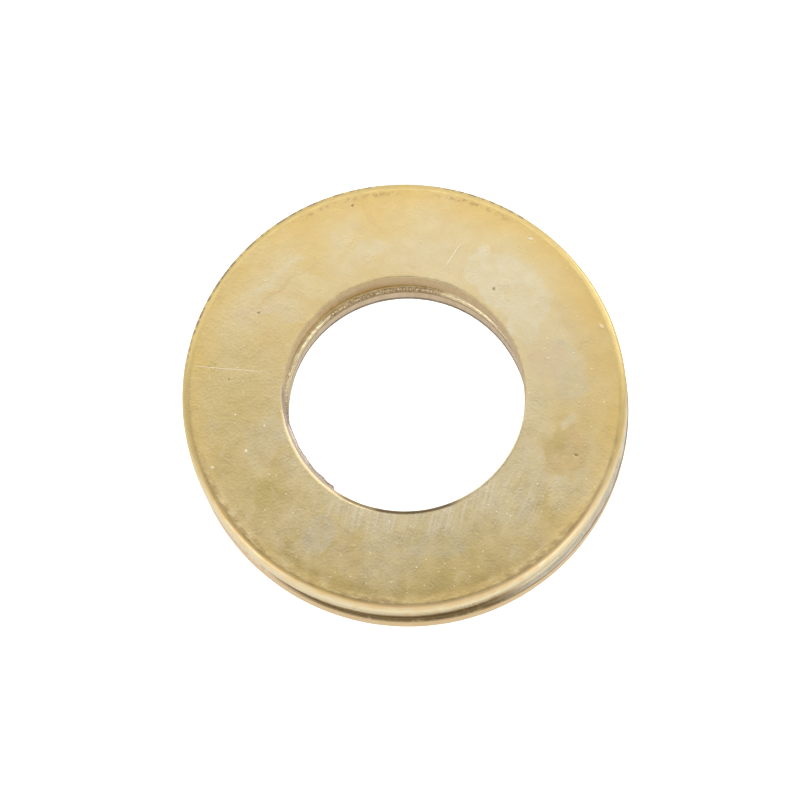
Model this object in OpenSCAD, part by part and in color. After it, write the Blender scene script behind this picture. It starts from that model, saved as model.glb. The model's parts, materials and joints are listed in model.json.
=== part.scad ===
// Two loose flat washers for a 12 mm bolt, stamped from one size of sheet and lying one on the other.
// The origin is at the middle of the stack on the surface that it lies on, +Z up.

/* [Washer] */
// Outside diameter of each washer
outer_d = 24; // [20:0.5:30]
// Diameter of the bore, measured on its sheared land
bore_d = 13; // [10:0.5:16]
// Thickness of the sheet
thickness = 1.6; // [1:0.1:3]

/* [Stamped edges] */
// Radius that the press rolls onto one corner of the rim
rim_roll_r = 0.4; // [0.05:0.05:0.45]
// Radius that the press rolls onto one corner of the bore
bore_roll_r = 0.25; // [0.05:0.05:0.45]
// Share of the thickness that tears instead of being sheared
torn_share = 0.3; // [0.1:0.05:0.5]
// How far the torn zone falls back from the sheared land
torn_back = 0.02; // [0.01:0.01:0.2]

/* [Stack] */
// Sideways slip between the two washers, with the lower one to the right
slip_x = 0.20; // [0:0.01:0.4]
// Front to back slip between the two washers, with the lower one to the front
slip_y = 0.24; // [0:0.01:0.4]

/* [Hidden] */
$fn = 128;
bore_r = bore_d / 2;
outer_r = outer_d / 2;
torn_h = thickness * torn_share;
stack_h = 2 * thickness;
cut_over = 0.5;

// What is cut from a square corner at the 2-D origin to leave it rolled to radius r
module rolled_corner(r) {
  difference() {
    translate([-cut_over, -cut_over]) square(r + cut_over);
    translate([r, r]) circle(r = r);
  }
}

// Half cross-section of a washer: the bore is punched downwards, so it rolls on top and tears below,
// and the rim is blanked against its die from below, so it rolls below and tears on top
module half_section() {
  difference() {
    polygon([
      [bore_r + torn_back, 0],
      [bore_r, torn_h],
      [bore_r, thickness],
      [outer_r - torn_back, thickness],
      [outer_r, thickness - torn_h],
      [outer_r, 0]
    ]);
    translate([bore_r, thickness]) mirror([0, 1]) rolled_corner(bore_roll_r);
    translate([outer_r, 0]) mirror([1, 0]) rolled_corner(rim_roll_r);
  }
}

// One washer standing on its rolled rim, with the rolled edge of the bore on top
module stamped_washer() rotate_extrude() half_section();

module lower_washer() {
  color("darkgoldenrod")
    translate([slip_x / 2, -slip_y / 2, 0]) stamped_washer();
}

// The same stamping turned over, on top of the lower one
module upper_washer() {
  color("palegoldenrod")
    translate([-slip_x / 2, slip_y / 2, stack_h]) rotate([180, 0, 0]) stamped_washer();
}

lower_washer();
upper_washer();
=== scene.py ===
"""Two loose flat washers in yellow zinc plate, lying one on the other on a white floor."""

import json
import math

import bpy
import numpy as np
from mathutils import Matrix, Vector


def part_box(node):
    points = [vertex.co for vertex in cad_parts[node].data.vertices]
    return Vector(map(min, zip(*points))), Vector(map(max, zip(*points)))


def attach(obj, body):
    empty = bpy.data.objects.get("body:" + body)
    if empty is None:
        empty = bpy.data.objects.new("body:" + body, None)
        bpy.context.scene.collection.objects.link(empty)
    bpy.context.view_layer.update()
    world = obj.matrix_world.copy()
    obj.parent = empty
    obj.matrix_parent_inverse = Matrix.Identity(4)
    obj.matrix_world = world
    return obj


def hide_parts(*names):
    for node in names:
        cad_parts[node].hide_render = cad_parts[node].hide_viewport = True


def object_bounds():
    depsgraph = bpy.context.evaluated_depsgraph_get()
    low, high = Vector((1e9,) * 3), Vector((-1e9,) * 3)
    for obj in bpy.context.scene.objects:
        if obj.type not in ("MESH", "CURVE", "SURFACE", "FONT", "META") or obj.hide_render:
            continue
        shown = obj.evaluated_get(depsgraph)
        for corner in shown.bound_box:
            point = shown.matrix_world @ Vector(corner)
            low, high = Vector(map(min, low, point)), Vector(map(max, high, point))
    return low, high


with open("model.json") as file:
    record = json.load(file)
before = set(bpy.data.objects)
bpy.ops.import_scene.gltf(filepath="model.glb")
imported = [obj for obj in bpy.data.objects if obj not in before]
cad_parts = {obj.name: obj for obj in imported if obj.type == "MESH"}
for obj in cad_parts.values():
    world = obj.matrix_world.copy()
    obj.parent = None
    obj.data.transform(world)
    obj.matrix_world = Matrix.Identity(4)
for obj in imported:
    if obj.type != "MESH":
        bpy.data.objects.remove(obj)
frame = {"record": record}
cad_low, cad_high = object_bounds()

# ---- Sizes, in metres ----
MM = 0.001
MOUNTS = {mount["name"]: mount for mount in frame["record"]["mounts"]}
BORE_R = MOUNTS["upper_bore"]["dims"]["r_mm"] * MM

# The cut edges, as the press leaves them, and the raised lip inside the rim
RIM_ROLL = 0.40 * MM
BORE_ROLL = 0.25 * MM
TORN_SHARE = 0.3
TORN_BACK = 0.02 * MM
RIM_EDGE = 0.12 * MM
BORE_EDGE = 0.04 * MM
LIP = 0.015 * MM
LIP_FROM_R = 11.10 * MM
LIP_TO_R = 11.58 * MM

# The burr at the left front of the upper washer's bore: how far it stands in, and how deep the bevel
# behind it is. Both rise slowly from the same direction, and each ends more suddenly at its own.
BURR = 0.19 * MM
BEVEL = 0.09 * MM
BEVEL_FROM_R = 6.70 * MM
BURR_FROM_DEG = 172
BURR_RISE_DEG = 28
BURR_TO_DEG = 235
BURR_FALL_DEG = 1.5
BEVEL_TO_DEG = 258
BEVEL_FALL_DEG = 8

# The mesh: steps round the washer, then steps along each stretch of the cross-section
TURNS = 960
STRETCHES = {
    "bore_torn": 6,
    "bore_land": 6,
    "bore_roll": 9,
    "face": 24,
    "rim_edge": 6,
    "rim_torn": 5,
    "rim_land": 6,
    "rim_roll": 14,
    "back": 24,
    "bore_edge": 4,
}

# The parts of the surface that look different, and their stretches
ZONES = {
    "bore_wall": ["bore_torn", "bore_land"],
    "bore_turn": ["bore_roll"],
    "rim_wall": ["rim_land"],
    "rim_tear": ["rim_torn", "rim_edge"],
    "rim_turn": ["rim_roll"],
}


# ---- The washers' meshes ----

def spaced(count, ends_denser=False):
    """Shares from 0 towards 1, without the 1, closer together near both ends if asked."""
    share = np.arange(count) / count
    if ends_denser:
        share = share - 0.7 * np.sin(2 * np.pi * share) / (2 * np.pi)
    return share


def straight(start, end, count, ends_denser=False):
    """Points of the cross-section on a straight line, without its end."""
    share = spaced(count, ends_denser)[:, None]
    return np.array(start) * (1 - share) + np.array(end) * share


def arc(centre, radius, start_deg, end_deg, count):
    """Points of the cross-section on an arc, without its end."""
    angle = np.radians(start_deg + (end_deg - start_deg) * spaced(count))
    return np.array(centre) + radius * np.stack([np.cos(angle), np.sin(angle)], axis=1)


def cross_section(outer_r, thickness):
    """A stamped washer's outline as (radius, height) points, and the name of each point's stretch.
    The bore rolls at the top and tears at the bottom, and the rim the other way round."""
    torn = thickness * TORN_SHARE
    low_r = BORE_R + TORN_BACK
    high_r = outer_r - TORN_BACK
    outline = {
        "bore_torn": straight((low_r, BORE_EDGE), (BORE_R, torn), STRETCHES["bore_torn"]),
        "bore_land": straight((BORE_R, torn), (BORE_R, thickness - BORE_ROLL), STRETCHES["bore_land"]),
        "bore_roll": arc((BORE_R + BORE_ROLL, thickness - BORE_ROLL), BORE_ROLL, 180, 90,
                         STRETCHES["bore_roll"]),
        "face": straight((BORE_R + BORE_ROLL, thickness), (high_r - RIM_EDGE, thickness),
                         STRETCHES["face"], ends_denser=True),
        "rim_edge": arc((high_r - RIM_EDGE, thickness - RIM_EDGE), RIM_EDGE, 90, 0,
                        STRETCHES["rim_edge"]),
        "rim_torn": straight((high_r, thickness - RIM_EDGE), (outer_r, thickness - torn),
                             STRETCHES["rim_torn"]),
        "rim_land": straight((outer_r, thickness - torn), (outer_r, RIM_ROLL), STRETCHES["rim_land"]),
        "rim_roll": arc((outer_r - RIM_ROLL, RIM_ROLL), RIM_ROLL, 0, -90, STRETCHES["rim_roll"]),
        "back": straight((outer_r - RIM_ROLL, 0), (low_r + BORE_EDGE, 0),
                         STRETCHES["back"], ends_denser=True),
        "bore_edge": arc((low_r + BORE_EDGE, BORE_EDGE), BORE_EDGE, 270, 180, STRETCHES["bore_edge"]),
    }
    points = np.concatenate([outline[name] for name in STRETCHES])
    names = np.concatenate([[name] * count for name, count in STRETCHES.items()])
    return points, names


def inward(points):
    """Unit normals of the closed outline that point into the metal."""
    along = np.roll(points, -1, axis=0) - np.roll(points, 1, axis=0)
    along /= np.linalg.norm(along, axis=1)[:, None]
    return np.stack([along[:, 1], -along[:, 0]], axis=1)


def rough_field(rng, shape, along, across):
    """Noise from 0 to 1 over turns and stations, smooth over that many steps along and across."""
    white = np.fft.fft2(rng.standard_normal(shape))
    turns = np.fft.fftfreq(shape[0])[:, None]
    stations = np.fft.fftfreq(shape[1])[None, :]
    keep = np.exp(-2 * np.pi ** 2 * ((along * turns) ** 2 + (across * stations) ** 2))
    field = np.fft.ifft2(white * keep).real
    return (field - field.min()) / (field.max() - field.min())


def wear_depth(rng, outline, names):
    """How far each point of the mesh lies under the clean stamped surface, in metres."""
    shape = (TURNS, len(names))
    heading = 2 * np.pi * np.arange(TURNS)[:, None] / TURNS
    everywhere = len(names)
    flat = np.isin(names, ["face", "back"])
    torn = np.isin(names, ["bore_torn", "rim_torn"])
    land = np.isin(names, ["bore_land", "rim_land"])

    # Inside the lip the face lies lower, most of all at the front
    towards_front = 0.1 + 0.9 * np.clip(0.6 - 0.7 * np.sin(heading), 0, 1)
    climbed = np.clip((outline[:, 0] - LIP_FROM_R) / (LIP_TO_R - LIP_FROM_R), 0, 1)
    climbed = climbed ** 2 * (3 - 2 * climbed)
    depth = LIP * towards_front * (1 - climbed) * flat

    # Wear: the deepest in mm, how many steps it is smooth over along and across, and where it is
    for deepest, along, across, where in (
        (0.004, 16, 2.0, flat),
        (0.030, 1.2, 1.0, torn),
        (0.006, 0.8, everywhere, land),
        (0.016, 5, 2.0, names == "rim_roll"),
        (0.040, 1.5, 1.0, names == "bore_roll"),
        (0.030, 3, 1.5, names == "rim_edge"),
        (0.012, 2, 1.5, names == "bore_edge"),
    ):
        depth = depth + deepest * MM * rough_field(rng, shape, along, across) * where
    return depth


def burr(rng, outline, names):
    """How far a one-sided burr moves each point of the mesh, as (radius, height), in metres."""
    heading = 360 * np.arange(TURNS)[:, None] / TURNS
    start = np.clip((heading - BURR_FROM_DEG) / BURR_RISE_DEG, 0, 1)
    standing = start * np.clip((BURR_TO_DEG - heading) / BURR_FALL_DEG, 0, 1)
    bevelled = start * np.clip((BEVEL_TO_DEG - heading) / BEVEL_FALL_DEG, 0, 1)
    ragged = 0.75 + 0.35 * rough_field(rng, (TURNS, len(names)), 3, len(names))
    torn = np.isin(names, ["bore_torn", "bore_edge"])
    up_the_tear = np.clip(outline[:, 1] / outline[names == "bore_torn", 1].max(), 0, 1)
    towards_bore = np.clip((BEVEL_FROM_R - outline[:, 0]) / (BEVEL_FROM_R - BORE_R), 0, 1)
    sunk = np.where(torn, 1 - up_the_tear, towards_bore * (names == "back"))
    moved_in = -BURR * ragged * standing * np.sin(np.pi * up_the_tear) * torn
    moved_down = BEVEL * ragged * bevelled * sunk
    return np.stack([moved_in, moved_down], axis=2)


def ring_mesh(name, section, base, inside_out):
    """A closed ring about a base point, through the (radius, height) points of each turn's section."""
    turns, stations = section.shape[:2]
    angle = 2 * np.pi * np.arange(turns)[:, None] / turns
    radius, height = section[:, :, 0], section[:, :, 1]
    corners = np.stack([
        base.x + radius * np.cos(angle),
        base.y + radius * np.sin(angle),
        base.z + height,
    ], axis=2).reshape(-1, 3)
    index = np.arange(turns * stations).reshape(turns, stations)
    ahead = np.roll(index, -1, axis=0)
    quads = np.stack([
        index,
        ahead,
        np.roll(ahead, -1, axis=1),
        np.roll(index, -1, axis=1),
    ], axis=2).reshape(-1, 4)
    if inside_out:
        quads = quads[:, ::-1]

    mesh = bpy.data.meshes.new(name)
    mesh.from_pydata(corners.tolist(), [], quads.tolist())
    mesh.polygons.foreach_set("use_smooth", np.ones(len(quads), bool))
    return mesh


def washer(node, flipped, seed):
    """A stamped washer with worn edges, in the place of a CAD node, and its centre."""
    low, high = (Vector(corner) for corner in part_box(node))
    centre = (low + high) / 2
    thickness = high.z - low.z
    outline, names = cross_section((high.x - low.x) / 2, thickness)
    rng = np.random.default_rng(seed)
    depth = wear_depth(rng, outline, names)
    section = outline[None, :, :] + depth[:, :, None] * inward(outline)[None, :, :]
    if flipped:
        section = section + burr(rng, outline, names)
        section[:, :, 1] = thickness - section[:, :, 1]

    base = Vector((centre.x, centre.y, low.z))
    mesh = ring_mesh(node + "_stamping", section, base, inside_out=flipped)
    for mark, kinds in ZONES.items():
        values = np.tile(np.isin(names, kinds).astype(np.float32), TURNS)
        mesh.attributes.new(mark, "FLOAT", "POINT").data.foreach_set("value", values)
    mesh.update()
    piece = bpy.data.objects.new(node + "_plated", mesh)
    bpy.context.collection.objects.link(piece)
    return piece, centre


# ---- Materials ----
# Lengths are in millimetres here, and directions in degrees, with 0 to the right and 90 to the rear.

# Heights at which the two washers meet and end
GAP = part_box("upper_washer")[0][2] / MM
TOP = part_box("upper_washer")[1][2] / MM


def add(tree, kind, inputs=None, **settings):
    """A node with its settings and its inputs, each a value or another node's output."""
    node = tree.nodes.new(kind)
    for name, value in settings.items():
        setattr(node, name, value)
    for name, value in (inputs or {}).items():
        if isinstance(value, bpy.types.NodeSocket):
            tree.links.new(value, node.inputs[name])
        else:
            node.inputs[name].default_value = value
    return node


def combine(tree, operation, first, second=0.0, third=0.0):
    """The result of one sum on one, two or three numbers."""
    return add(tree, "ShaderNodeMath", {0: first, 1: second, 2: third}, operation=operation).outputs[0]


def vector(tree, operation, first, second=(0, 0, 0), third=(0, 0, 0)):
    """The vector result of one sum on one, two or three vectors."""
    inputs = {0: first, 1: second}
    if operation == "MULTIPLY_ADD":
        inputs[2] = third
    return add(tree, "ShaderNodeVectorMath", inputs, operation=operation).outputs[0]


def length(tree, value):
    """The length of a vector."""
    return add(tree, "ShaderNodeVectorMath", {0: value}, operation="LENGTH").outputs["Value"]


def dot(tree, first, second):
    """The dot product of two vectors."""
    node = add(tree, "ShaderNodeVectorMath", {0: first, 1: second}, operation="DOT_PRODUCT")
    return node.outputs["Value"]


def noise(tree, place, scale, detail, seed, result="Fac"):
    """Noise about 0.5, with that many bumps to a millimetre and that many finer layers."""
    inputs = {"Vector": place, "W": seed, "Scale": scale, "Detail": detail}
    return add(tree, "ShaderNodeTexNoise", inputs, noise_dimensions="4D").outputs[result]


def dots(tree, place, scale, size, seed):
    """Round dots of about that half size, 1 inside and 0 outside, scattered by cells."""
    inputs = {"Vector": place, "W": seed, "Scale": scale}
    cells = add(tree, "ShaderNodeTexVoronoi", inputs, voronoi_dimensions="4D")
    return ramp(tree, cells.outputs["Distance"], size * scale, 0.6 * size * scale)


def ramp(tree, value, low, high, to_low=0.0, to_high=1.0):
    """The value's smooth step from to_low at low to to_high at high."""
    inputs = {"Value": value, "From Min": low, "From Max": high, "To Min": to_low, "To Max": to_high}
    node = add(tree, "ShaderNodeMapRange", inputs, interpolation_type="SMOOTHSTEP")
    return node.outputs[0]


def product(tree, *factors):
    """All the factors multiplied together."""
    result = factors[0]
    for factor in factors[1:]:
        result = combine(tree, "MULTIPLY", result, factor)
    return result


def mixed(tree, share, first, second):
    """The first colour, changed to the second by that share. Each is a colour or a node's output."""
    first, second = ((*c, 1) if isinstance(c, tuple) else c for c in (first, second))
    node = add(tree, "ShaderNodeMix", {0: share, 6: first, 7: second}, data_type="RGBA")
    return node.outputs[2]


def stretched(tree, place, turn_deg, along, across, upright=1.0):
    """Coordinates turned about the axis, then scaled along and across that direction."""
    inputs = {"Vector": place, "Rotation": (0, 0, math.radians(-turn_deg))}
    turned = add(tree, "ShaderNodeMapping", inputs).outputs[0]
    return add(tree, "ShaderNodeMapping", {"Vector": turned, "Scale": (along, across, upright)}).outputs[0]


def patch(tree, place, angle_deg, radius, half_length, half_width, turn_deg, soft):
    """A soft-edged oval on the face, 1 inside and 0 outside, by the direction and radius of its middle."""
    angle, turn = math.radians(angle_deg), math.radians(turn_deg)
    moved = vector(tree, "SUBTRACT", place, (radius * math.cos(angle), radius * math.sin(angle), 0))
    along = dot(tree, moved, (math.cos(turn) / half_length, math.sin(turn) / half_length, 0))
    across = dot(tree, moved, (-math.sin(turn) / half_width, math.cos(turn) / half_width, 0))
    squared = combine(tree, "MULTIPLY_ADD", along, along, combine(tree, "MULTIPLY", across, across))
    return ramp(tree, combine(tree, "SQRT", squared), 1 + soft / 2, 1 - soft / 2)


def sector(tree, at, middle_deg, half_deg, soft_deg):
    """1 within that many degrees of a direction and 0 away from it, for a mark that follows the ring."""
    middle = math.radians(middle_deg)
    along = dot(tree, at["heading"], (math.cos(middle), math.sin(middle), 0))
    outer = math.cos(math.radians(min(half_deg + soft_deg, 180)))
    inner = math.cos(math.radians(max(half_deg - soft_deg, 0)))
    return ramp(tree, along, outer, inner)


def band(tree, value, middle, half_width):
    """1 at the middle and 0 from that half width away."""
    off = combine(tree, "ABSOLUTE", combine(tree, "SUBTRACT", value, middle))
    return ramp(tree, off, half_width, 0.0)


# Tints of the passivated skin, as linear reflectance
GOLD = (0.84, 0.67, 0.34)
PALE = (0.86, 0.76, 0.51)
MILKY = (0.87, 0.78, 0.54)
COOL = (0.76, 0.69, 0.50)
ROSE = (0.83, 0.67, 0.44)
OLIVE = (0.72, 0.58, 0.25)
TAN = (0.80, 0.61, 0.31)
HONEY = (0.86, 0.67, 0.30)
AMBER = (0.88, 0.63, 0.21)
BRIGHT = (0.98, 0.93, 0.78)
DARK = (0.30, 0.22, 0.14)
BORE_TAN = (0.64, 0.475, 0.24)
BORE_ROSE = (0.81, 0.65, 0.44)
BORE_SHINE = (0.97, 0.84, 0.56)
POCK = (0.36, 0.26, 0.14)
POCK_LIGHT = (0.78, 0.64, 0.40)
STAIN = (0.50, 0.36, 0.17)
PEACH = (0.84, 0.62, 0.33)
RIM_CREAM = (0.85, 0.75, 0.49)
RIM_GOLD = (0.76, 0.56, 0.28)
RIM_DULL = (0.66, 0.52, 0.23)
BURR_GREY = (0.47, 0.40, 0.35)
BEVEL_SHINE = (0.93, 0.74, 0.43)
SHADE = (0.60, 0.47, 0.21)
# Torn metal, also used as painted shade under the upper washer
TORN_AND_SHADE = (0.26, 0.19, 0.105)
# Painted shade for the crevice between the washers
CREVICE_SHADE = (0.42, 0.32, 0.14)
TORN_LIGHT = (0.55, 0.42, 0.24)
TORN_PINK = (0.84, 0.66, 0.46)

# Clouds in the skin that were laid by the rinse: tint, strength, direction and radius of the middle,
# half length and half width, turn, softness of the outline
UPPER_CLOUDS = [
    (MILKY, 1.00, 47, 8.3, 2.8, 1.6, 137, 0.12),
    (MILKY, 1.00, 33, 7.5, 1.3, 0.8, 110, 0.3),
    (PALE, 0.60, 88, 8.0, 2.2, 0.9, 5, 0.9),
    (PALE, 0.70, 105, 8.1, 1.4, 0.55, 35, 0.7),
    (PALE, 0.40, 112, 9.2, 1.6, 0.5, 60, 0.5),
    (HONEY, 0.50, 122, 9.0, 1.9, 1.1, 75, 0.15),
    (HONEY, 0.60, 99, 10.0, 1.6, 0.7, 125, 0.5),
    (PALE, 0.75, 139, 9.6, 2.2, 0.20, 40, 0.6),
    (TAN, 0.80, 137, 8.8, 2.4, 0.13, 38, 0.6),
    (TAN, 0.70, 101, 10.6, 1.2, 0.22, 130, 0.4),
    (ROSE, 0.60, 149, 8.9, 2.0, 0.30, 5, 0.4),
    (PALE, 0.45, 128, 7.9, 1.2, 0.5, 160, 0.6),
    (PALE, 0.35, 143, 8.0, 1.3, 0.45, 10, 0.6),
    (TAN, 0.50, 158, 7.7, 0.8, 0.5, 150, 0.2),
    (OLIVE, 0.40, 180, 9.3, 2.2, 3.2, 0, 1.0),
    (COOL, 0.40, 199, 7.7, 1.5, 1.0, 20, 0.5),
    (OLIVE, 1.00, 218, 9.1, 0.95, 0.75, 60, 0.9),
    (OLIVE, 0.30, 212, 10.3, 2.6, 0.8, 125, 0.8),
    (COOL, 0.45, 268, 8.5, 1.8, 0.7, 0, 0.6),
    (OLIVE, 0.60, 288, 9.9, 3.2, 1.2, 20, 1.0),
    (PALE, 0.70, 329, 7.4, 1.2, 0.6, 60, 0.6),
    (COOL, 0.60, 239, 8.9, 1.0, 0.8, 30, 0.3),
    (OLIVE, 0.55, 243, 10.8, 2.6, 0.40, 153, 0.6),
    (TAN, 0.60, 254, 10.3, 0.8, 0.25, 80, 0.5),
    (COOL, 0.45, 283, 8.3, 1.9, 0.9, 10, 0.6),
    (OLIVE, 0.75, 277, 10.5, 1.6, 0.45, 10, 0.5),
    (TAN, 0.50, 303, 10.6, 1.9, 0.5, 33, 0.7),
    (COOL, 0.55, 321, 8.8, 1.8, 0.7, 65, 0.4),
    (PALE, 0.60, 331, 10.0, 1.6, 0.8, 60, 0.5),
    (TAN, 0.85, 339, 9.0, 1.6, 1.05, 70, 0.25),
    (OLIVE, 0.60, 341, 8.5, 0.8, 0.6, 70, 0.6),
    (PALE, 0.75, 349, 9.0, 0.7, 0.4, 60, 0.3),
    (COOL, 0.50, 8, 8.8, 0.8, 1.7, 20, 0.25),
    (ROSE, 0.65, 14, 7.9, 0.8, 1.2, 20, 0.25),
    (TAN, 0.45, 20, 10.2, 2.6, 0.8, 110, 0.8),
    (TAN, 0.15, 28, 7.3, 0.9, 0.35, 120, 0.4),
]
LOWER_CLOUDS = [
    (PALE, 0.80, 20, 9.0, 2.2, 1.4, 60, 0.3),
    (COOL, 0.70, 120, 8.5, 2.6, 1.2, 20, 0.4),
    (COOL, 0.60, 250, 9.4, 1.8, 1.4, 0, 0.5),
    (OLIVE, 0.60, 75, 9.8, 1.2, 0.8, 30, 0.4),
    (OLIVE, 0.60, 190, 8.2, 0.9, 0.7, 0, 0.3),
    (TAN, 0.50, 310, 9.0, 1.6, 1.0, 120, 0.5),
]

# Knocks, pits and long scratches: tint, direction and radius of the middle, half length and half width,
# turn, height. A BRIGHT tint paints the highlight of a raised knock, and the lighter metal of a scratch.
UPPER_MARKS = [
    (DARK, 50.4, 7.6, 0.10, 0.07, 60, -0.02),
    (DARK, 105, 11.0, 0.10, 0.06, 60, -0.02),
    (DARK, 150.3, 9.1, 0.10, 0.06, 20, -0.02),
    (DARK, 339.3, 9.8, 0.08, 0.11, 70, -0.02),
    (DARK, 175.5, 9.5, 0.05, 0.05, 0, -0.01),
    (BRIGHT, 19.5, 11.3, 0.12, 0.05, 130, 0.03),
    (BRIGHT, 52, 11.1, 0.13, 0.06, 160, 0.03),
    (BRIGHT, 200.9, 9.1, 0.06, 0.10, 0, 0.02),
    (BRIGHT, 202, 11.1, 0.08, 0.07, 40, 0.02),
    (BRIGHT, 193.6, 7.75, 0.05, 0.05, 0, 0.02),
    (BRIGHT, 187.6, 9.2, 0.05, 0.04, 0, 0.02),
    (BRIGHT, 71.2, 8.2, 0.75, 0.035, 58, 0.004),
    (BRIGHT, 172, 9.6, 1.9, 0.02, 175, 0.003),
]
LOWER_MARKS = [
    (DARK, 98, 8.3, 0.09, 0.06, 10, -0.02),
    (DARK, 262, 10.4, 0.07, 0.10, 40, -0.02),
    (BRIGHT, 160, 9.6, 0.07, 0.05, 80, 0.02),
]


def washer_coordinates(tree, centre):
    """Coordinates from the washer's own centre, in several forms, and the height over the floor."""
    coordinates = add(tree, "ShaderNodeTexCoord").outputs["Object"]
    place = add(tree, "ShaderNodeMapping", {
        "Vector": coordinates,
        "Location": tuple(-c / MM for c in centre),
        "Scale": (1 / MM, 1 / MM, 1 / MM),
    }).outputs[0]
    flat = vector(tree, "MULTIPLY", place, (1, 1, 0))
    radius = length(tree, flat)
    heading = vector(tree, "NORMALIZE", flat)
    upright = add(tree, "ShaderNodeCombineXYZ", {"Z": radius}).outputs[0]
    ring = vector(tree, "MULTIPLY_ADD", heading, (11, 11, 0), upright)
    parts = add(tree, "ShaderNodeSeparateXYZ", {0: heading})
    in_stack = vector(tree, "MULTIPLY", coordinates, (1 / MM, 1 / MM, 1 / MM))
    return {
        "place": place,
        "flat": flat,
        "radius": radius,
        "heading": heading,
        "ring": ring,
        "towards_left": combine(tree, "MULTIPLY", parts.outputs["X"], -1.0),
        "towards_rear": parts.outputs["Y"],
        "height": add(tree, "ShaderNodeSeparateXYZ", {0: in_stack}).outputs["Z"],
    }


def clouded_skin(tree, at, clouds, seed):
    """The colour of the face, with its clouds, painted shade just inside the rim at the front, and its deeper
    yellow towards the rim, which is painted warm light where it grows stronger at the rear.
    """
    drift = noise(tree, at["place"], 0.6, 2, seed, "Color")
    drift = vector(tree, "SUBTRACT", drift, (0.5, 0.5, 0.5))
    flutter = noise(tree, at["place"], 2.2, 3, seed + 1, "Color")
    flutter = vector(tree, "SUBTRACT", flutter, (0.5, 0.5, 0.5))
    drifted = vector(tree, "MULTIPLY_ADD", drift, (2.2, 2.2, 0), at["flat"])
    drifted = vector(tree, "MULTIPLY_ADD", flutter, (0.5, 0.5, 0), drifted)

    broad = ramp(tree, noise(tree, at["place"], 0.25, 2, seed + 2), 0.35, 0.65, 0.0, 0.6)
    colour = mixed(tree, broad, GOLD, PALE)
    stain = ramp(tree, noise(tree, drifted, 0.40, 3, seed + 3), 0.53, 0.58, 0.0, 0.25)
    colour = mixed(tree, stain, colour, TAN)
    patchy = ramp(tree, noise(tree, at["place"], 1.3, 4, seed + 4), 0.34, 0.58, 0.5, 1.0)
    for tint, strength, angle, middle, half_length, half_width, turn, soft in clouds:
        share = patch(tree, drifted, angle, middle, half_length, half_width, turn, soft)
        colour = mixed(tree, product(tree, share, strength, patchy), colour, tint)
    front = ramp(tree, at["towards_rear"], 0.3, -0.5)
    blotches = noise(tree, stretched(tree, drifted, 70, 0.7, 1.5), 1.0, 4, seed + 26)
    dull = product(tree, ramp(tree, blotches, 0.52, 0.66, 0.0, 0.55), front)
    colour = mixed(tree, dull, colour, OLIVE)
    light = product(tree, ramp(tree, blotches, 0.46, 0.34, 0.0, 0.45), front)
    colour = mixed(tree, light, colour, PALE)
    # Painted shade: the face is darker just inside the rim at the front
    painted_front_shade = product(tree, band(tree, at["radius"], 11.15, 0.75), sector(tree, at, 268, 34, 14))
    painted_front_shade = product(tree, painted_front_shade, ramp(tree, blotches, 0.35, 0.60, 0.35, 0.9))
    colour = mixed(tree, painted_front_shade, colour, SHADE)
    rear = ramp(tree, at["towards_rear"], -0.7, 0.2, 0.35, 1.0)
    uneven = ramp(tree, noise(tree, drifted, 0.5, 3, seed + 5), 0.3, 0.7, 0.6, 1.0)
    rubbed = product(tree, ramp(tree, at["radius"], 8.4, 6.9, 0.0, 0.6), sector(tree, at, 285, 78, 20))
    colour = mixed(tree, rubbed, colour, PALE)
    # Deeper yellow towards the rim, painted stronger at the rear as warm light
    glow = ramp(tree, at["radius"], 9.4, 11.9, 0.0, 0.75)
    return mixed(tree, product(tree, glow, rear, uneven), colour, AMBER)


def tool_rub(tree, at, seed):
    """How much of the broken brown rubbing just inside the rear of the rim is here."""
    wobble = noise(tree, stretched(tree, at["ring"], 0, 0.5, 0.5, 0), 1.0, 3, seed)
    radius = combine(tree, "MULTIPLY_ADD", wobble, 0.5, at["radius"])
    broken = noise(tree, stretched(tree, at["ring"], 0, 4.0, 4.0, 4), 1.0, 5, seed + 1)
    reach = combine(tree, "MAXIMUM", sector(tree, at, 107, 13, 7), sector(tree, at, 70, 9, 6))
    return product(tree, band(tree, radius, 11.62, 0.22), ramp(tree, broken, 0.46, 0.66), reach)


def stained_ring(tree, at, seed):
    """How much of the speckled brown ring, just inside the rolled rim at the front, is here."""
    wobble = noise(tree, stretched(tree, at["ring"], 0, 0.8, 0.8, 0), 1.0, 3, seed)
    radius = combine(tree, "MULTIPLY_ADD", wobble, 0.24, at["radius"])
    broken = noise(tree, stretched(tree, at["ring"], 0, 2.4, 2.4, 5), 1.0, 4, seed + 1)
    patchy = ramp(tree, noise(tree, at["place"], 0.5, 2, seed + 2), 0.35, 0.6, 0.4, 1.0)
    ring = product(tree, band(tree, radius, 11.58, 0.30), ramp(tree, broken, 0.38, 0.58))
    return product(tree, ring, patchy, sector(tree, at, 258, 66, 15))


def scuffs(tree, at, seed):
    """How much of the fine scratches that run from front to rear over the front half is here."""
    lines = noise(tree, stretched(tree, at["place"], 76, 0.5, 7.0), 1.0, 3, seed)
    fainter = noise(tree, stretched(tree, at["place"], 64, 0.6, 8.0), 1.0, 3, seed + 1)
    near_bore = product(tree, sector(tree, at, 280, 44, 12), ramp(tree, at["radius"], 8.8, 7.2))
    swept = patch(tree, at["flat"], 319, 8.6, 2.4, 1.5, 70, 1.2)
    return combine(tree, "MAXIMUM",
                   product(tree, ramp(tree, lines, 0.44, 0.68), near_bore),
                   product(tree, ramp(tree, fainter, 0.44, 0.74), swept, 0.6))


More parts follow.
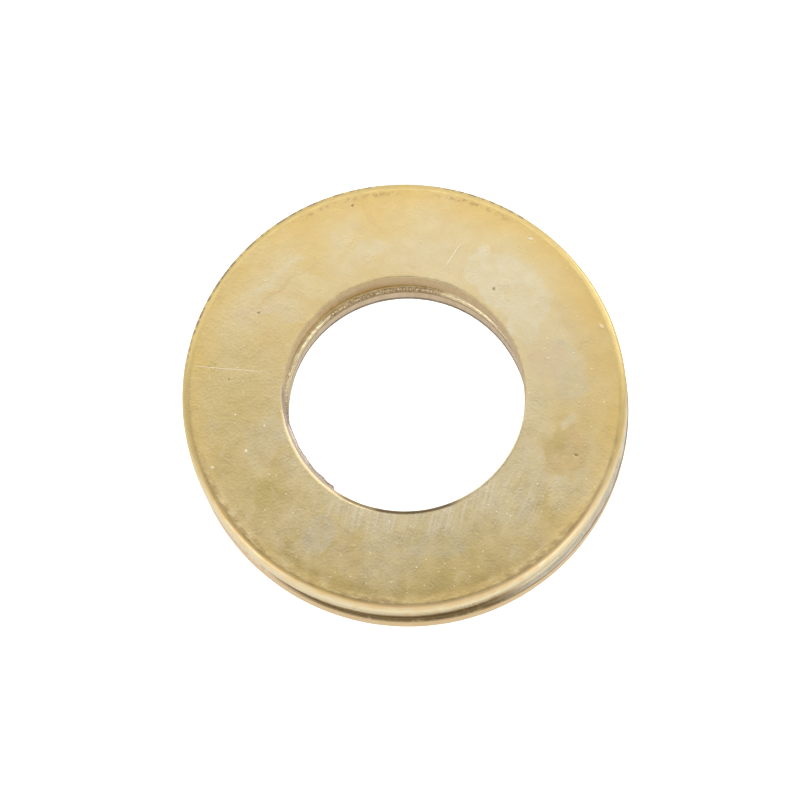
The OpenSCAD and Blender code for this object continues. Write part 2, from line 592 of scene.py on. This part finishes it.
def bore_colour(tree, at, seed):
    """The wall of the bore, with upright tool streaks, and dark near the floor, partly the torn band and
    partly painted contact shade.
    """
    streaks = noise(tree, stretched(tree, at["place"], 0, 1, 1, 0.08), 3.0, 3, seed)
    tan = mixed(tree, ramp(tree, streaks, 0.35, 0.65, 0.0, 0.2), BORE_TAN, ROSE)
    rose = mixed(tree, ramp(tree, streaks, 0.40, 0.65, 0.0, 0.5), BORE_ROSE, BORE_TAN)
    colour = mixed(tree, ramp(tree, at["height"], GAP - 0.1, GAP + 0.1), rose, tan)
    # Dark near the floor: the lower washer's torn band, with painted shade where it meets the floor
    foot = noise(tree, stretched(tree, at["place"], 0, 1, 1, 0.2), 4.0, 2, seed + 1)
    foot = combine(tree, "MULTIPLY_ADD", foot, -0.3, at["height"])
    return mixed(tree, ramp(tree, foot, 0.36, 0.20), colour, TORN_AND_SHADE)


def bore_turn_colour(tree, at, seed):
    """The turn between a face and the bore. The lower washer's is pocked, with painted highlights at the
    right rear and the left rear and a dark line below it; the upper washer's has painted shade at its foot,
    in the crevice between the washers.
    """
    height = at["height"]
    pocks = noise(tree, stretched(tree, at["ring"], 0, 9, 9, 9), 1.0, 3, seed)
    pocked = mixed(tree, ramp(tree, pocks, 0.42, 0.68), POCK, POCK_LIGHT)
    # Painted highlights of the side lights, at the right rear and the left rear
    painted_highlight_sectors = combine(tree, "MAXIMUM", sector(tree, at, 42, 30, 8), sector(tree, at, 155, 20, 8))
    pocked = mixed(tree, product(tree, painted_highlight_sectors, 0.9), pocked, BORE_SHINE)
    under = product(tree, ramp(tree, height, GAP - 0.15, GAP - 0.22), 0.9)
    pocked = mixed(tree, under, pocked, TORN_AND_SHADE)
    # Painted shade in the crevice at the foot of the upper washer's turn
    above = mixed(tree, ramp(tree, height, GAP + 0.09, GAP + 0.17), CREVICE_SHADE, BORE_ROSE)
    return mixed(tree, ramp(tree, height, GAP - 0.01, GAP + 0.01), pocked, above)


def bore_edges(tree, at, zone, colour, seed):
    """The face's colour, changed round the bore: bevel with a painted highlight and burr at the left, darker
    front edge, wall, turn.
    """
    worn = noise(tree, at["place"], 5.0, 3, seed + 29)
    edge = combine(tree, "MULTIPLY_ADD", worn, 0.10, at["radius"])
    near_top = ramp(tree, at["height"], TOP - 0.6, TOP - 0.5)
    # Painted highlight on the worn bevel at the left front of the bore
    bevelled = product(tree, ramp(tree, edge, 6.76, 6.72), sector(tree, at, 216, 42, 4), near_top)
    colour = mixed(tree, bevelled, colour, BEVEL_SHINE)
    # The bore's front edge is painted darker
    darker_front_edge = product(tree, sector(tree, at, 266, 28, 5), ramp(tree, at["radius"], 6.74, 6.66), 0.9)
    colour = mixed(tree, darker_front_edge, colour, TORN_AND_SHADE)
    colour = mixed(tree, zone["bore_wall"], colour, bore_colour(tree, at, seed + 14))
    burred = product(tree, ramp(tree, edge, 6.69, 6.64), sector(tree, at, 207, 30, 4), near_top)
    colour = mixed(tree, burred, colour, BURR_GREY)
    return mixed(tree, zone["bore_turn"], colour, bore_turn_colour(tree, at, seed + 16))


def painted_front_roll_reflection(tree, at, brushed, seed):
    """The rim's rolled edge at the front, painted with the reflection of the front light: peach that breaks
    up into cream, and amber at the left, over real tan streaks.
    """
    broken = noise(tree, stretched(tree, at["ring"], 0, 1.8, 1.8, 4), 1.0, 5, seed)
    broken = combine(tree, "MULTIPLY_ADD", broken, 0.5, at["radius"])
    colour = mixed(tree, ramp(tree, broken, 11.96, 12.24), PEACH, RIM_CREAM)
    amber_reflection = product(tree, ramp(tree, broken, 12.04, 11.92), sector(tree, at, 218, 40, 10), 0.7)
    colour = mixed(tree, amber_reflection, colour, AMBER)
    return mixed(tree, ramp(tree, brushed, 0.50, 0.70, 0.0, 0.55), colour, TAN)


def rear_painted_outline(tree, at, seed):
    """How much of the broken dark outline along the rear of the rim is here: painted shade at the edge."""
    broken = noise(tree, stretched(tree, at["ring"], 0, 2.5, 2.5, 1), 1.0, 4, seed)
    reach = combine(tree, "MAXIMUM", sector(tree, at, 132, 36, 10), sector(tree, at, 68, 12, 4))
    return product(tree, ramp(tree, broken, 0.42, 0.56), reach, ramp(tree, at["radius"], 11.78, 11.85))


def ledge_colour(tree, at, seed):
    """The strip of the lower washer's face that shows past the upper one: brown painted shade at the front,
    under the upper washer, and a painted highlight at the right front.
    """
    pocks = noise(tree, at["place"], 3.0, 4, seed)
    # Painted shade in the gap under the upper washer at the front
    front_gap_shade = mixed(tree, ramp(tree, pocks, 0.50, 0.70, 0.0, 0.6), TORN_AND_SHADE, TORN_LIGHT)
    front_gap_shade = mixed(tree, ramp(tree, at["radius"], 11.74, 11.86, 0.0, 0.5), front_gap_shade, AMBER)
    # Painted highlight at the right front
    pink_with_right_highlight = mixed(tree, sector(tree, at, 335, 36, 8), TORN_PINK, BRIGHT)
    return mixed(tree, sector(tree, at, 262, 32, 10), pink_with_right_highlight, front_gap_shade)


def rim_tear_colour(tree, at, seed):
    """The torn bands round the rims, brown at the front, where painted shade under the upper washer darkens
    the torn texture, with a painted highlight along the top and a dark corner line towards the right.
    """
    height = at["height"]
    pocks = noise(tree, at["place"], 3.5, 4, seed)
    # Painted shade: at the front the lower washer's torn band is darkest under the upper washer and lighter
    # lower down
    front = mixed(tree, ramp(tree, pocks, 0.50, 0.70, 0.0, 0.6), TORN_AND_SHADE, TORN_LIGHT)
    front = mixed(tree, ramp(tree, height, GAP - 0.04, GAP - 0.14, 0.0, 0.5), front, AMBER)
    front = mixed(tree, ramp(tree, height, GAP - 0.22, GAP - 0.32, 0.0, 0.85), front, PEACH)
    front = mixed(tree, ramp(tree, height, GAP - 0.01, GAP + 0.01, 0.0, 0.8), front, COOL)
    side = mixed(tree, ramp(tree, pocks, 0.48, 0.66, 0.0, 0.6), TORN_PINK, TORN_LIGHT)
    torn = mixed(tree, sector(tree, at, 272, 34, 12), side, front)
    right = sector(tree, at, 334, 34, 8)
    # Painted highlight along the top of the lower washer's torn band at the right
    right_top_highlight = product(tree, right, ramp(tree, height, GAP - 0.04, GAP - 0.02))
    torn = mixed(tree, right_top_highlight, torn, BRIGHT)
    corner = product(tree, right, ramp(tree, height, GAP - 0.015, GAP - 0.035),
                     ramp(tree, height, GAP - 0.20, GAP - 0.14), 0.8)
    return mixed(tree, corner, torn, DARK)


def rim_edges(tree, at, zone, colour, rim_wall, seed):
    """The face's colour, changed round the rim: rolled edge, painted reflection at its front, painted dark
    outline at its rear, ledge, torn band and wall.
    """
    brushed = noise(tree, stretched(tree, at["ring"], 0, 2.5, 2.5, 9), 1.0, 4, seed + 28)
    # Painted reflection of the front light on the rolled edge at the front
    front = product(tree, zone["rim_turn"], sector(tree, at, 270, 72, 15))
    colour = mixed(tree, front, colour, painted_front_roll_reflection(tree, at, brushed, seed + 25))
    rear = product(tree, ramp(tree, at["radius"], 11.46, 11.64), sector(tree, at, 90, 105, 20))
    rear = product(tree, rear, ramp(tree, brushed, 0.35, 0.60, 0.7, 1.0))
    colour = mixed(tree, rear, colour, RIM_DULL)
    # Painted shade: a broken dark outline along the rear edge
    colour = mixed(tree, product(tree, rear_painted_outline(tree, at, seed + 10), 0.9), colour, DARK)
    ledge = product(tree, ramp(tree, at["radius"], 11.45, 11.60), sector(tree, at, 278, 85, 8),
                    ramp(tree, at["height"], GAP - 0.15, GAP - 0.05),
                    ramp(tree, at["height"], GAP + 0.10, GAP + 0.05))
    colour = mixed(tree, ledge, colour, ledge_colour(tree, at, seed + 27))
    colour = mixed(tree, zone["rim_tear"], colour, rim_tear_colour(tree, at, seed + 18))
    streaked = mixed(tree, ramp(tree, brushed, 0.45, 0.70, 0.0, 0.7), rim_wall, TAN)
    return mixed(tree, zone["rim_wall"], colour, streaked)


def worn_skin(tree, at, grainy, clouds, marks, seed):
    """The face's colour, its fine scratches, and the height of its specks and knocks."""
    colour = clouded_skin(tree, at, clouds, seed)
    mottle = noise(tree, at["place"], 7.0, 4, seed + 6)
    colour = mixed(tree, product(tree, ramp(tree, mottle, 0.48, 0.72, 0.0, 0.5), grainy), colour, OLIVE)
    scratched = scuffs(tree, at, seed + 7)
    colour = mixed(tree, product(tree, scratched, 0.55), colour, BRIGHT)
    colour = mixed(tree, product(tree, tool_rub(tree, at, seed + 9), 0.45), colour, DARK)
    colour = mixed(tree, product(tree, stained_ring(tree, at, seed + 24), 0.75), colour, STAIN)

    # Specks all over, most of them at the front and the left. The bright ones are painted glints over a
    # little bump; the dark ones are pits.
    crowding = ramp(tree, noise(tree, at["place"], 0.5, 2, seed + 11), 0.38, 0.55)
    glints = product(tree, dots(tree, at["place"], 3.3, 0.052, seed + 12), crowding, grainy)
    colour = mixed(tree, product(tree, glints, 0.8), colour, BRIGHT)
    pits = dots(tree, at["place"], 1.3, 0.045, seed + 13)
    colour = mixed(tree, product(tree, pits, 0.5), colour, DARK)
    relief = combine(tree, "SUBTRACT", product(tree, glints, 0.022), product(tree, pits, 0.010))

    marked = {DARK: 0.0, BRIGHT: 0.0}
    for tint, angle, middle, half_length, half_width, turn, rise in marks:
        share = patch(tree, at["flat"], angle, middle, half_length, half_width, turn, 0.8)
        marked[tint] = combine(tree, "MAXIMUM", marked[tint], share)
        relief = combine(tree, "MULTIPLY_ADD", share, rise, relief)
    for tint, share in marked.items():
        colour = mixed(tree, product(tree, share, 0.7), colour, tint)
    return colour, scratched, relief


def plated_steel(name, centre, clouds, marks, rim_wall, seed):
    """Yellow zinc plate: a clouded, scuffed metallic skin over rolled sheet, and plainer cut walls."""
    material = bpy.data.materials.new(name)
    material.use_nodes = True
    tree = material.node_tree
    shader = tree.nodes["Principled BSDF"]
    shader.inputs["Metallic"].default_value = 1.0
    at = washer_coordinates(tree, centre)
    zone = {mark: add(tree, "ShaderNodeAttribute", attribute_name=mark).outputs["Fac"] for mark in ZONES}

    # The front and the left are grainier than the rear
    grainy = combine(tree, "MULTIPLY_ADD", at["towards_left"], 0.5,
                     combine(tree, "MULTIPLY", at["towards_rear"], -1.0))
    grainy = ramp(tree, grainy, -1.0, 0.6, 0.45, 1.0)
    colour, scratched, relief = worn_skin(tree, at, grainy, clouds, marks, seed)
    colour = bore_edges(tree, at, zone, colour, seed)
    colour = rim_edges(tree, at, zone, colour, rim_wall, seed)
    tree.links.new(colour, shader.inputs["Base Color"])

    haze = ramp(tree, noise(tree, at["place"], 1.2, 4, seed + 20), 0.3, 0.7, 0.27, 0.36)
    roughness = add(tree, "ShaderNodeMix", {0: zone["bore_turn"], 2: haze, 3: 0.20}).outputs[0]
    tree.links.new(roughness, shader.inputs["Roughness"])

    grain = noise(tree, at["place"], 8.0, 4, seed + 21)
    peel = noise(tree, at["place"], 0.8, 2, seed + 22)
    relief = combine(tree, "MULTIPLY_ADD", combine(tree, "MULTIPLY", grain, grainy), 0.007, relief)
    relief = combine(tree, "MULTIPLY_ADD", peel, 0.010, relief)
    relief = combine(tree, "MULTIPLY_ADD", scratched, 0.003, relief)
    bump = add(tree, "ShaderNodeBump", {"Strength": 1.0, "Distance": MM, "Height": relief})
    tree.links.new(bump.outputs[0], shader.inputs["Normal"])
    return material


# ---- Stage ----

CAMERA_DISTANCE = 0.165
CAMERA_RISE_DEG = 74.58
AIM_SHIFT = Vector((-0.249, -0.394, 0)) * MM
LENS_MM = 138.1

# Soft boxes: direction and rise in degrees, distance, width and height in metres, radiance
SOFTBOXES = {
    "right_rear_box": (42, 5, 0.6, 0.22, 0.09, 2.6),
    "left_front_box": (215, 26, 0.6, 0.24, 0.24, 0.7),
    "right_front_box": (325, 20, 0.6, 0.24, 0.30, 0.7),
}

FLOOR_SIDE = 3.0
FLOOR_GLOW = 0.27


def camera(target):
    """The camera stands in front of the washers and looks steeply down at them."""
    data = bpy.data.cameras.new("camera")
    data.lens = LENS_MM
    data.clip_start = 0.01
    data.clip_end = 10
    eye = bpy.data.objects.new("camera", data)
    rise = math.radians(CAMERA_RISE_DEG)
    eye.location = target + CAMERA_DISTANCE * Vector((0, -math.cos(rise), math.sin(rise)))
    eye.rotation_euler = (math.pi / 2 - rise, 0, 0)
    bpy.context.collection.objects.link(eye)
    bpy.context.scene.camera = eye


def softbox(name, direction_deg, rise_deg, distance, width, height, radiance):
    """A soft rectangular light, aimed at the washers. A direction of 0 is to the right and 90 to the rear."""
    data = bpy.data.lights.new(name, "AREA")
    data.shape = "RECTANGLE"
    data.size = width
    data.size_y = height
    data.energy = radiance * math.pi * width * height
    lamp = bpy.data.objects.new(name, data)
    turn, rise = math.radians(direction_deg), math.radians(rise_deg)
    away = Vector((math.cos(turn) * math.cos(rise), math.sin(turn) * math.cos(rise), math.sin(rise)))
    lamp.location = away * distance
    lamp.rotation_euler = away.to_track_quat("Z", "Y").to_euler()
    bpy.context.collection.objects.link(lamp)


def dome():
    """A pale tent all round: dimmer overhead, with a glow at the front and a bright rear wall."""
    world = bpy.data.worlds.new("dome")
    bpy.context.scene.world = world
    world.use_nodes = True
    tree = world.node_tree
    direction = add(tree, "ShaderNodeTexCoord").outputs["Generated"]
    parts = add(tree, "ShaderNodeSeparateXYZ", {0: direction})
    rightward, rearward, upward = (parts.outputs[axis] for axis in "XYZ")
    tent = ramp(tree, upward, 0.75, 1.0, 0.66, 0.25)
    tent = combine(tree, "ADD", tent, ramp(tree, rearward, 0.10, -0.22, 0.0, 0.26))
    wall = ramp(tree, rearward, 0.14, 0.43, 0.08, 1.50)
    wall = combine(tree, "MULTIPLY_ADD", rightward, 0.2, wall)
    wall = combine(tree, "ADD", wall, ramp(tree, rearward, 0.45, 0.75, 0.0, -0.45))
    light = combine(tree, "MAXIMUM", tent, wall)
    tree.links.new(light, tree.nodes["Background"].inputs["Strength"])
    tree.nodes["Background"].inputs["Color"].default_value = (1.0, 0.97, 0.93, 1)


def floor():
    """A white floor that shows no shadow, and that the washers reflect as plain shaded white."""
    half = FLOOR_SIDE / 2
    corners = [(x * half, y * half, cad_low[2]) for x, y in ((-1, -1), (1, -1), (1, 1), (-1, 1))]
    mesh = bpy.data.meshes.new("floor")
    mesh.from_pydata(corners, [], [(0, 1, 2, 3)])
    material = bpy.data.materials.new("white_floor")
    material.use_nodes = True
    tree = material.node_tree
    shader = tree.nodes["Principled BSDF"]
    shader.inputs["Base Color"].default_value = (0.8, 0.8, 0.8, 1)
    shader.inputs["Roughness"].default_value = 0.9
    shader.inputs["Emission Color"].default_value = (1, 1, 1, 1)
    seen = add(tree, "ShaderNodeLightPath").outputs["Is Camera Ray"]
    tree.links.new(ramp(tree, seen, 0.0, 1.0, FLOOR_GLOW, 1.0), shader.inputs["Emission Strength"])
    mesh.materials.append(material)
    ground = bpy.data.objects.new("floor", mesh)
    bpy.context.collection.objects.link(ground)


# ---- Build ----

# The upper washer's rim wall is painted a lighter cream than the lower's gold: a painted reflection of the
# white floor on the same plate
for node, flipped, clouds, marks, rim_wall, seed in (
    ("lower_washer", False, LOWER_CLOUDS, LOWER_MARKS, RIM_GOLD, 2),
    ("upper_washer", True, UPPER_CLOUDS, UPPER_MARKS, RIM_CREAM, 1),
):
    piece, centre = washer(node, flipped, seed)
    piece.data.materials.append(plated_steel(node + "_plate", centre, clouds, marks, rim_wall, 30.0 * seed))
    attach(piece, node)
    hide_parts(node)

top_low, top_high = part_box("upper_washer")
top_middle = Vector(((top_low[0] + top_high[0]) / 2, (top_low[1] + top_high[1]) / 2, top_high[2]))
camera(top_middle + AIM_SHIFT)
dome()
floor()
for name, setup in SOFTBOXES.items():
    softbox(name, *setup)
bpy.context.scene.view_settings.view_transform = "Standard"
